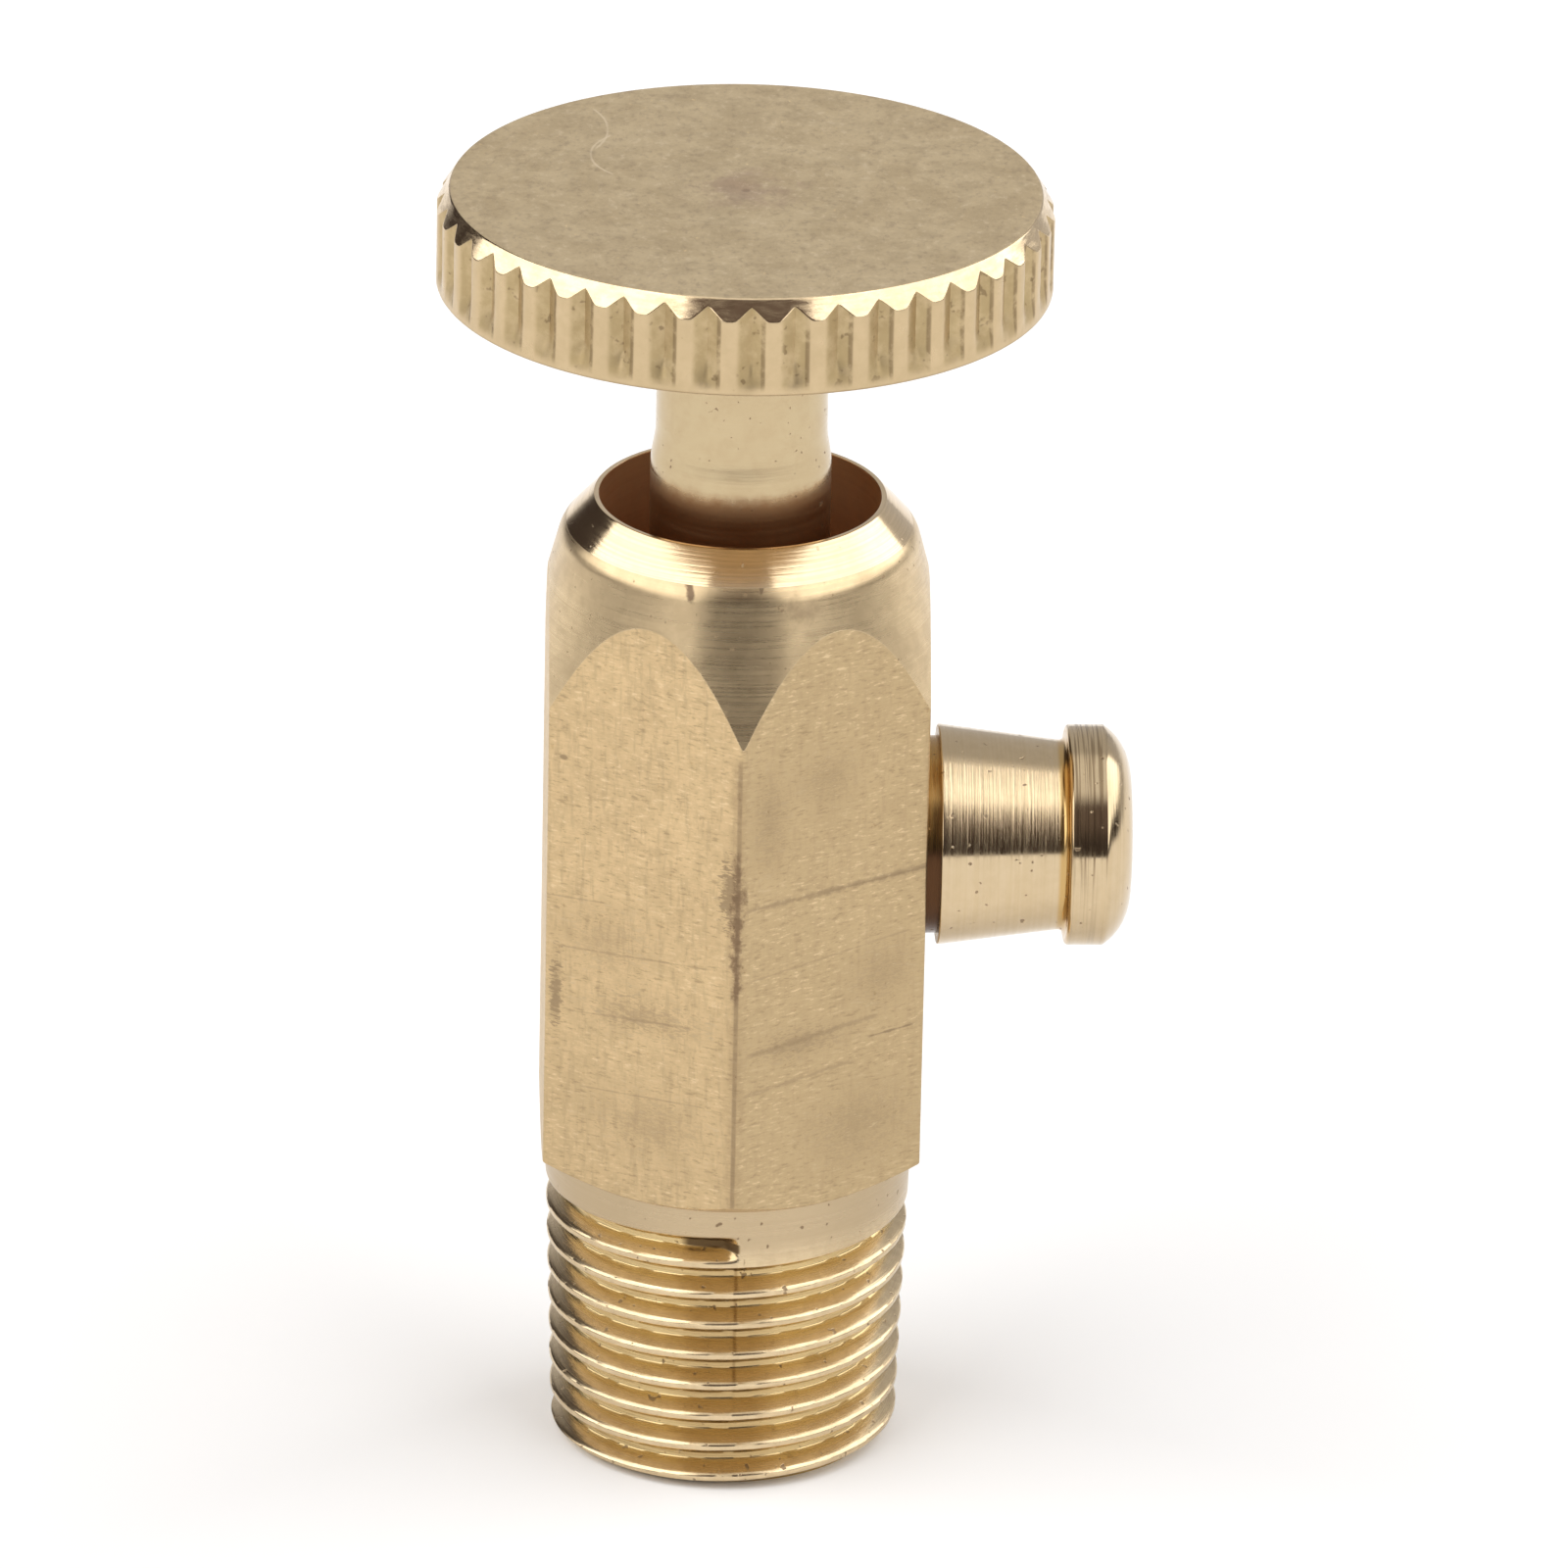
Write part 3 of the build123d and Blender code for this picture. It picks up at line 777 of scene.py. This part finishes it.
# Nipple: turned about its own axis, with painted shade in the undercut below and a painted golden highlight
# above, and a painted golden reflection in the waist
nippleWearAndShade = {
    # painted shade in the undercut, with a painted highlight on its upper side
    "undercutShade": (0.09, 0.043, 0.02), "undercutOut": 0.02, "undercutIn": 0.01, "undercutRough": 0.12,
    "undercutHighlight": (0.58, 0.35, 0.12), "highlightLow": 0.5, "highlightHigh": 1.2, "highlightShare": 0.7,
    "ringDark": (0.26, 0.18, 0.10), "ringStretch": (15.0, 0.25, 0.25), "ringDetail": 2.0,
    "ringRange": (0.48, 0.60), "ringSoft": 0.03, "ringRough": 0.08,
    "upperHalf": 0.6, "upperShares": (0.2, 0.75), "collarLow": 8.80, "collarHigh": 9.74,
    # painted reflection: the hollow waist before the collar is painted golden
    "waistReflection": (0.56, 0.37, 0.15), "waistX": 8.58, "waistGap": 0.05, "waistSoft": 0.12, "waistRough": 0.05,
}


def nippleMarksAndShade(tree, at):
    w, x = nippleWearAndShade, at["x"]
    axisZ = float(outletZ)
    barrelX = hexFaceX + nippleSizes["undercutWidth"]
    lines = noise(tree, stretched(tree, at, w["ringStretch"]), 1.0, w["ringDetail"])
    above = rise(tree, at["z"], axisZ - w["upperHalf"], axisZ + w["upperHalf"], *w["upperShares"])
    rings = times(tree, rise(tree, lines, *w["ringRange"]), above)
    rings = times(tree, rings, within(tree, x, w["collarLow"], w["collarHigh"], w["ringSoft"]))
    # painted shade: the undercut is painted nearly black
    undercutShade = rise(tree, x, barrelX + w["undercutOut"], barrelX - w["undercutIn"])
    # painted highlight: the undercut's upper side is painted golden
    highlighted = rise(tree, at["z"], axisZ + w["highlightLow"], axisZ + w["highlightHigh"], 0.0, w["highlightShare"])
    # painted reflection: the hollow waist is painted golden
    waistReflection = within(tree, x, w["waistX"], w["collarLow"] - w["waistGap"], w["waistSoft"])
    return [
        (undercutShade, w["undercutShade"], w["undercutRough"]),
        (times(tree, undercutShade, highlighted), w["undercutHighlight"], 0.0),
        (waistReflection, w["waistReflection"], w["waistRough"]), (rings, w["ringDark"], w["ringRough"]),
    ]


turnedNipple = variedBrass(
    "turnedNipple", colour=(0.64, 0.505, 0.325), rough=0.14, roughSpread=0.05, tarnish=0.2, streak=0.4,
    speck=0.7, speckEdge=0.715, speckScale=4.0, pit=0.005, relief=0.004,
    grain={"kind": "sideTurned", "around": 0.5, "across": 16.0}, wear=nippleMarksAndShade)


def drainNippleGrid(s):
    # The nipple's turned outline carried round its own axis. The nose is an arc that meets the end squarely.
    barrelX = hexFaceX + s["undercutWidth"]
    collarX = barrelX + s["barrelLength"]
    collarR, length, endR = s["collarR"], s["noseLength"], s["boreR"] + s["endLand"]
    noseR = (length ** 2 + (collarR - endR) ** 2) / (2 * length)
    swing = np.linspace(math.asin((collarR - endR) / noseR), 0.0, s["noseSteps"])
    nose = [(noseX - noseR + noseR * math.cos(t), endR + noseR * math.sin(t), 0.0, 0) for t in swing]
    plan = [  # along, radius, trim, steps
        (shankX, s["boreR"], 0.0, 2),
        (shankX, s["shankR"], 0.0, 4),
        (hexFaceX, s["shankR"], 0.0, 1),
        (hexFaceX, s["undercutR"], 0.0, 3),
        (barrelX, s["undercutR"], 0.0, 2),
        (barrelX, s["barrelR"], s["barrelTrim"], 14),
        (collarX, s["waistR"], s["waistTrim"], 3),
        (collarX, collarR, s["collarTrim"], 6),
        *nose,
        (noseX, s["boreR"], s["boreTrim"], 16),
    ]
    angle = np.linspace(0, 2 * math.pi, s["columns"], endpoint=False)
    keys = np.array([[(along, radius)] * s["columns"] for along, radius, *_ in plan], float)
    rows = roundedRows(keys, [p[2] for p in plan], [p[3] for p in plan], closed=True, arcSteps=8)[0]
    along, radius = rows[..., 0], rows[..., 1]
    return np.stack([along, radius * np.cos(angle), outletZ + radius * np.sin(angle)], axis=-1)


nippleGrid = drainNippleGrid(nippleSizes)
nippleMesh = gridMesh("drainNipple", nippleGrid, True, np.zeros(len(nippleGrid), int))
smoothShade(nippleMesh)
addPiece("drainNipple", nippleMesh, "body", "drain_nipple", [turnedNipple])
print("drain nipple built,", len(nippleMesh.polygons), "faces")


# Knob and spindle
spindleSizes = {
    "knobR": 8.04, "knobThickness": 2.56, "bevelHeight": 0.53, "bevelWidth": 0.34,
    "fluteCount": 44, "fluteDepth": 0.22, "fluteHalfDeg": 62.0, "fluteTurnDeg": -0.63, "fluteBlur": 0.16,
    "fluteRunout": 0.9, "fluteLand": 0.03,
    "columnsPerFlute": 14, "pipR": 0.22, "pipDepth": 0.05,
    "stemR": 2.25, "stemFootR": 2.37, "flareZ": 27.9, "flareLength": 0.7,
    "collarTopZ": 24.0, "collarZ": 22.1, "collarR": 3.62, "collarWall": 0.3, "grooveR": 2.7,
    "screwR": 2.645, "screwZ": 17.89, "neckR": 1.9, "tipEndR": 0.4,
    "topTrim": 0.05, "rimTrim": 0.03, "underTrim": 0.05, "stemTrim": 0.12, "flareTrim": 0.2,
    "collarTrim": 0.05,
}


# Knob face: mottled satin, a browner middle and a few pale hairlines
faceWear = {
    "raggedScale": 1.3, "raggedDetail": (4.0, 0.65),
    "middle": (0.50, 0.355, 0.25), "middleR": 1.8, "middleRag": 2.6, "middleRange": (2.3, 1.3, 0.0, 0.65),
    "pip": (0.30, 0.20, 0.14), "pipR": 0.16, "pipCore": 0.4, "pipShare": 0.5,
    "fineStretch": (4.5, 3.2, 1.0), "fineDetail": (4.0, 0.7),
    "stroke": (0.42, 0.315, 0.205), "strokeRange": (0.50, 0.70, 0.0, 0.45),
    "pale": (0.95, 0.80, 0.58), "paleRange": (0.46, 0.30, 0.0, 0.35),
    "hairRange": (0.05, 0.01, 0.0, 0.6), "hairSoft": 0.1,
    "hairlines": [  # centre, radius and the side of the circle that shows
        {"centre": (-2.0, 2.4), "radius": 2.0, "low": -3.95, "high": -3.5},
        {"centre": (-6.6, 4.3), "radius": 3.1, "low": -3.8, "high": -3.55},
    ],
}


def faceMarks(tree, at):
    w, x, y = faceWear, at["x"], at["y"]
    ragged = noise(tree, at["place"], w["raggedScale"], *w["raggedDetail"])
    share = calc(tree, "DIVIDE", at["radius"], w["middleR"])
    brown = calc(tree, "MULTIPLY_ADD", ragged, w["middleRag"], share)
    fine = noise(tree, stretched(tree, at, w["fineStretch"]), 1.0, *w["fineDetail"])
    found = [
        (rise(tree, brown, *w["middleRange"]), w["middle"], 0.0),
        (rise(tree, fine, *w["strokeRange"]), w["stroke"], 0.0),
        (rise(tree, fine, *w["paleRange"]), w["pale"], 0.0),
    ]
    for hair in w["hairlines"]:
        centreX, centreY = hair["centre"]
        reach = distance(tree, calc(tree, "SUBTRACT", x, centreX), calc(tree, "SUBTRACT", y, centreY))
        off = calc(tree, "ABSOLUTE", calc(tree, "SUBTRACT", reach, hair["radius"]))
        shown = within(tree, x, hair["low"], hair["high"], w["hairSoft"])
        found.append((times(tree, rise(tree, off, *w["hairRange"]), shown), w["pale"], 0.0))
    pip = rise(tree, at["radius"], w["pipR"], w["pipR"] * w["pipCore"], 0.0, w["pipShare"])
    return found + [(pip, w["pip"], 0.0)]


facedKnob = variedBrass(
    "facedKnob", colour=(0.745, 0.60, 0.375), tarnishColour=(0.55, 0.43, 0.26),
    streakColour=(0.65, 0.515, 0.325), rough=0.46, roughSpread=0.03, tarnish=0.5, cloudScale=0.6, mottle=0.5,
    mottleScale=1.2, streak=0.1, relief=0.0003, pebble=0.003, wear=faceMarks)


# Knob rim: pale crests, olive grime in the flutes, a painted shade line down the right of each and painted
# shade along the bottom edge
rimWearAndShade = {
    "raggedScale": 2.2, "raggedDetail": (4.0, 0.65),
    "olive": (0.42, 0.315, 0.155), "oliveRange": (0.30, 0.62, 0.3, 0.72), "oliveRough": 0.22,
    # the grime colour also paints the shade lines; the bottom-edge colour paints shade along the rim's lower
    # edge
    "grimeAndShade": (0.20, 0.135, 0.07), "grimeRough": 0.1, "foot": (0.26, 0.18, 0.10), "footShare": 0.7,
    "panelHalf": 0.36, "panelSoft": 0.14, "panelFoot": 0.08, "panelFade": 0.3,
    # painted shade: a dark line down the right flank of each flute, in the same colour as the real grime
    # spots
    "shadeLinePhase": 0.27, "shadeLineHalf": 0.07, "shadeLineCore": 0.3, "lineRange": (0.36, 0.56, 0.1, 0.6),
    "spotScale": 3.2, "spotDetail": 2.0, "spotRange": (0.62, 0.70, 0.0, 0.6),
}


def rimMarksAndShade(tree, at):
    w, s = rimWearAndShade, spindleSizes
    knobZ = float(knobTopZ) - s["knobThickness"]
    panelZ = knobZ + w["panelFoot"]
    ragged = noise(tree, at["place"], w["raggedScale"], *w["raggedDetail"])
    angle = calc(tree, "ARCTAN2", at["y"], at["x"])
    perRadian, start = s["fluteCount"] / (2 * math.pi), s["fluteTurnDeg"] * s["fluteCount"] / 360
    turns = calc(tree, "MULTIPLY_ADD", angle, perRadian, -start)
    phase = calc(tree, "SUBTRACT", turns, calc(tree, "ROUND", turns))
    above = rise(tree, at["z"], panelZ, panelZ + w["panelFade"])
    valley = rise(tree, calc(tree, "ABSOLUTE", phase), w["panelHalf"], w["panelHalf"] - w["panelSoft"])
    valley = times(tree, valley, above)
    olive = times(tree, valley, rise(tree, ragged, *w["oliveRange"]))
    # painted shade: a dark line down the right flank of each flute
    off = calc(tree, "ABSOLUTE", calc(tree, "SUBTRACT", phase, w["shadeLinePhase"]))
    line = times(tree, above, rise(tree, off, w["shadeLineHalf"], w["shadeLineHalf"] * w["shadeLineCore"]))
    line = times(tree, line, rise(tree, ragged, *w["lineRange"]))
    spotted = noise(tree, at["place"], w["spotScale"], w["spotDetail"])
    spots = times(tree, valley, rise(tree, spotted, *w["spotRange"]))
    # painted shade: darker towards the rim's bottom edge
    foot = rise(tree, at["z"], panelZ, knobZ, 0.0, w["footShare"])
    return [
        (olive, w["olive"], w["oliveRough"]), (line, w["grimeAndShade"], w["grimeRough"]),
        (spots, w["grimeAndShade"], w["grimeRough"]), (foot, w["foot"], w["grimeRough"]),
    ]


serratedRim = variedBrass(
    "serratedRim", colour=(0.62, 0.475, 0.285), tarnishColour=(0.50, 0.38, 0.215), rough=0.32, tarnish=0.2,
    mottle=0.25, grain={"kind": "turned", "around": 9.0, "across": 1.5}, relief=0.002, wear=rimMarksAndShade)

# Stem: pale and pitted, brown where it goes into the bore: partly a stain, partly a painted reflection of the
# dark bore and painted shade
stemStainAndShade = {
    "brown": (0.36, 0.205, 0.10), "stainShadeLow": 27.45, "stainShadeHigh": 28.05, "stainShadeRough": 0.22,
    "raggedScale": 3.0, "raggedDetail": (4.0, 0.65), "ragged": 0.4,
    "fadeLow": 25.0, "fadeHigh": 26.5, "deepShare": 0.3,
}


def stemStainAndShadeMarks(tree, at):
    w = stemStainAndShade
    uneven = noise(tree, at["place"], w["raggedScale"], *w["raggedDetail"])
    level = calc(tree, "MULTIPLY_ADD", uneven, w["ragged"], at["z"])
    shallow = rise(tree, level, w["fadeLow"], w["fadeHigh"], w["deepShare"], 1.0)
    # partly a stain, partly a painted reflection of the dark bore and painted shade
    stainAndShade = times(tree, rise(tree, level, w["stainShadeHigh"], w["stainShadeLow"]), shallow)
    return [(stainAndShade, w["brown"], w["stainShadeRough"])]


turnedStem = variedBrass(
    "turnedStem", colour=(0.56, 0.445, 0.27), rough=0.17, roughSpread=0.05, tarnish=0.3, mottle=0.4,
    mottleScale=2.0, streak=0.2, speck=0.7, speckEdge=0.72, speckScale=4.5, pit=0.003, relief=0.0007,
    wear=stemStainAndShadeMarks)
# painted shade: the knob's downward face is painted dark brown
shadedKnobUnderside = variedBrass("shadedKnobUnderside", colour=(0.35, 0.245, 0.145), rough=0.25)
knobBevel = variedBrass(
    "knobBevel", colour=(0.82, 0.645, 0.42), rough=0.16, roughSpread=0.08, tarnish=0.15, streak=0.4,
    mottle=0.3, relief=0.003, grain={"kind": "turned", "around": 14.0, "across": 5.0})
print("knob finishes made")


def fluteRadius(angle, above, s):
    # Rim radius round the knob: a circle with evenly spaced V flutes whose corners are slightly rounded. Just
    # above the knob's underside each flute eases out to the rim.
    pitch = 2 * math.pi / s["fluteCount"]
    phase = (angle - math.radians(s["fluteTurnDeg"])) / pitch
    off = np.abs(phase - np.round(phase)) * pitch * s["knobR"]
    halfWidth = s["fluteDepth"] * math.tan(math.radians(s["fluteHalfDeg"]))
    full = np.clip((above - s["fluteLand"]) / s["fluteRunout"], 0, 1)
    ease = full * full * (3 - 2 * full)
    return s["knobR"] - s["fluteDepth"] * ease * softClamp(1 - off / halfWidth, s["fluteBlur"])


def knobSpindleGrid(s):
    columns = s["fluteCount"] * s["columnsPerFlute"]
    angle = np.linspace(0, 2 * math.pi, columns, endpoint=False) + math.radians(s["fluteTurnDeg"])
    rim = fluteRadius(angle, s["knobThickness"], s)
    same = np.ones_like(angle)
    flatR = s["knobR"] - s["bevelWidth"]
    bevelDrop = s["bevelHeight"] / s["bevelWidth"]
    knobZ = knobTopZ - s["knobThickness"]
    neckTop = tipZ + s["neckR"] - s["tipEndR"]
    grooveLow, grooveHigh = s["collarZ"] + s["collarWall"], s["collarTopZ"] - s["collarWall"]
    plan = [  # radius, height, trim, steps to the next key, place of that run's finish in the piece's list
        (0.0, knobTopZ, 0.0, 16, 0),
        (flatR, knobTopZ, s["topTrim"], 4, 1),
        (rim, knobTopZ - (rim - flatR) * bevelDrop, s["rimTrim"], 22, 2),
        (s["knobR"], knobZ, s["underTrim"], 6, 5),
        (s["stemR"], knobZ, s["stemTrim"], 6, 3),
        (s["stemR"], s["flareZ"] + s["flareLength"], s["flareTrim"], 4, 3),
        (s["stemFootR"], s["flareZ"], s["flareTrim"], 5, 3),
        (s["stemFootR"], s["collarTopZ"], 0.0, 3, 4),
        (s["collarR"], s["collarTopZ"], s["collarTrim"], 2, 4),
        (s["collarR"], grooveHigh, 0.0, 2, 4),
        (s["grooveR"], grooveHigh, 0.0, 2, 4),
        (s["grooveR"], grooveLow, 0.0, 2, 4),
        (s["collarR"], grooveLow, 0.0, 2, 4),
        (s["collarR"], s["collarZ"], 0.0, 2, 4),
        (s["screwR"], s["collarZ"], 0.0, 2, 4),
        (s["screwR"], s["screwZ"] + s["screwR"] - s["neckR"], 0.0, 2, 4),
        (s["neckR"], s["screwZ"], 0.0, 2, 4),
        (s["neckR"], neckTop, 0.0, 2, 4),
        (s["tipEndR"], tipZ, 0.0, 2, 4),
        (0.0, tipZ, 0.0, 1, 4),
    ]
    keys = np.array([[r * same, z * same] for r, z, *_ in plan]).transpose(0, 2, 1)
    rows, runs = roundedRows(keys, [p[2] for p in plan], [p[3] for p in plan], closed=False)
    radius, height = rows[..., 0], rows[..., 1]
    fluted = (runs == 2)[:, None]
    radius = np.where(fluted, np.minimum(radius, fluteRadius(angle, height - knobZ, s)), radius)
    top = (runs == 0)[:, None]
    height = np.where(top, height - s["pipDepth"] * np.exp(-(radius / s["pipR"]) ** 2), height)
    grid = np.stack([radius * np.cos(angle), radius * np.sin(angle), height], axis=-1)
    return grid, np.array([p[4] for p in plan])[runs]


spindleGrid, spindleFinish = knobSpindleGrid(spindleSizes)
spindleMesh = gridMesh("knobSpindle", spindleGrid, False, spindleFinish)
smoothShade(spindleMesh)
addPiece("knobSpindle", spindleMesh, "spindle", "knob_spindle",
         [facedKnob, knobBevel, serratedRim, turnedStem, shadedBoreWall, shadedKnobUnderside])
print("knob and spindle built,", len(spindleMesh.polygons), "faces")


# Studio: pale floor, two tall soft boxes and a dim room
studio = {
    "floorHalf": 3.0, "floorCells": 4, "floorColour": (0.88, 0.88, 0.88), "floorRough": 0.9,
    "boxAside": 1.0, "boxFront": -2.0, "boxFoot": 0.25, "boxTop": 3.3,
    "left": {"side": -1, "rear": 0.6, "watts": 54.0}, "right": {"side": 1, "rear": 0.9, "watts": 54.0},
    "roomDark": 0.045, "frontGrey": 0.05, "frontHigh": 0.13, "darkTint": (1.18, 0.93, 0.86),
    "frontBack": (-0.2, -0.7), "frontUp": (0.2, 0.65),
    "backWall": 0.52, "wallHalf": 0.28, "wallSoft": 0.22, "wallBack": (0.0, 0.3),
    "rightCorner": 0.48, "cornerSide": (0.2, 0.5), "cornerBack": (0.1, 0.4),
    "overhead": 0.90, "overheadUp": (0.78, 0.96),
}


def paleFloor(s):
    # A flat square grid under the thread's end face
    half, cells = s["floorHalf"], s["floorCells"]
    row = cells + 1
    u = np.linspace(-half, half, row)
    gx, gy = np.meshgrid(u, u)
    points = np.stack([gx, gy, np.zeros_like(gx)], axis=-1).reshape(-1, 3)
    low = (np.arange(cells)[:, None] * row + np.arange(cells)).reshape(-1)
    faces = np.stack([low, low + 1, low + row + 1, low + row], axis=-1)
    mesh = bpy.data.meshes.new("paleFloor")
    mesh.from_pydata(points.tolist(), [], faces.tolist())
    material = bpy.data.materials.new("floorPaper")
    material.use_nodes = True
    shader = material.node_tree.nodes["Principled BSDF"]
    shader.inputs["Base Color"].default_value = (*s["floorColour"], 1)
    shader.inputs["Roughness"].default_value = s["floorRough"]
    shader.inputs["Specular IOR Level"].default_value = 0.0
    mesh.materials.append(material)
    floor = bpy.data.objects.new("paleFloor", mesh)
    bpy.context.scene.collection.objects.link(floor)


def softBox(name, box, s):
    # An upright panel beside the object, facing it squarely
    lamp = bpy.data.lights.new(name, "AREA")
    lamp.shape = "RECTANGLE"
    lamp.size, lamp.size_y = box["rear"] - s["boxFront"], s["boxTop"] - s["boxFoot"]
    lamp.energy = box["watts"]
    holder = bpy.data.objects.new(name, lamp)
    middle = (box["rear"] + s["boxFront"]) / 2, (s["boxTop"] + s["boxFoot"]) / 2
    holder.location = (box["side"] * s["boxAside"], *middle)
    holder.rotation_euler = Vector((box["side"], 0, 0)).to_track_quat("Z", "Y").to_euler()
    bpy.context.scene.collection.objects.link(holder)


def dimRoom(s):
    # The room seen in the metal: warm dark round about, paler straight behind and behind right, pale overhead
    world = bpy.data.worlds.new("dimRoom")
    world.use_nodes = True
    tree = world.node_tree
    background = tree.nodes["Background"]
    direction = nodeOf(tree, "ShaderNodeTexCoord").outputs["Generated"]
    parts = nodeOf(tree, "ShaderNodeSeparateXYZ")
    tree.links.new(direction, parts.inputs[0])
    side, back, up = parts.outputs
    wall = within(tree, side, -s["wallHalf"], s["wallHalf"], s["wallSoft"])
    wall = times(tree, wall, rise(tree, back, *s["wallBack"], 0.0, s["backWall"]))
    corner = rise(tree, back, *s["cornerBack"], 0.0, s["rightCorner"])
    corner = times(tree, rise(tree, side, *s["cornerSide"]), corner)
    ceiling = rise(tree, up, *s["overheadUp"], 0.0, s["overhead"])
    pale = calc(tree, "MAXIMUM", calc(tree, "MAXIMUM", wall, corner), ceiling)
    front = rise(tree, up, *s["frontUp"], s["frontGrey"], s["frontHigh"])
    dark = rise(tree, back, *s["frontBack"], s["roomDark"], front)
    levels = [calc(tree, "MULTIPLY_ADD", dark, tint, pale) for tint in s["darkTint"]]
    tree.links.new(vectorOf(tree, *levels), background.inputs["Color"])
    bpy.context.scene.world = world


paleFloor(studio)
softBox("leftBox", studio["left"], studio)
softBox("rightBox", studio["right"], studio)
dimRoom(studio)
bpy.context.scene.view_settings.view_transform = "Standard"
print("studio lit")
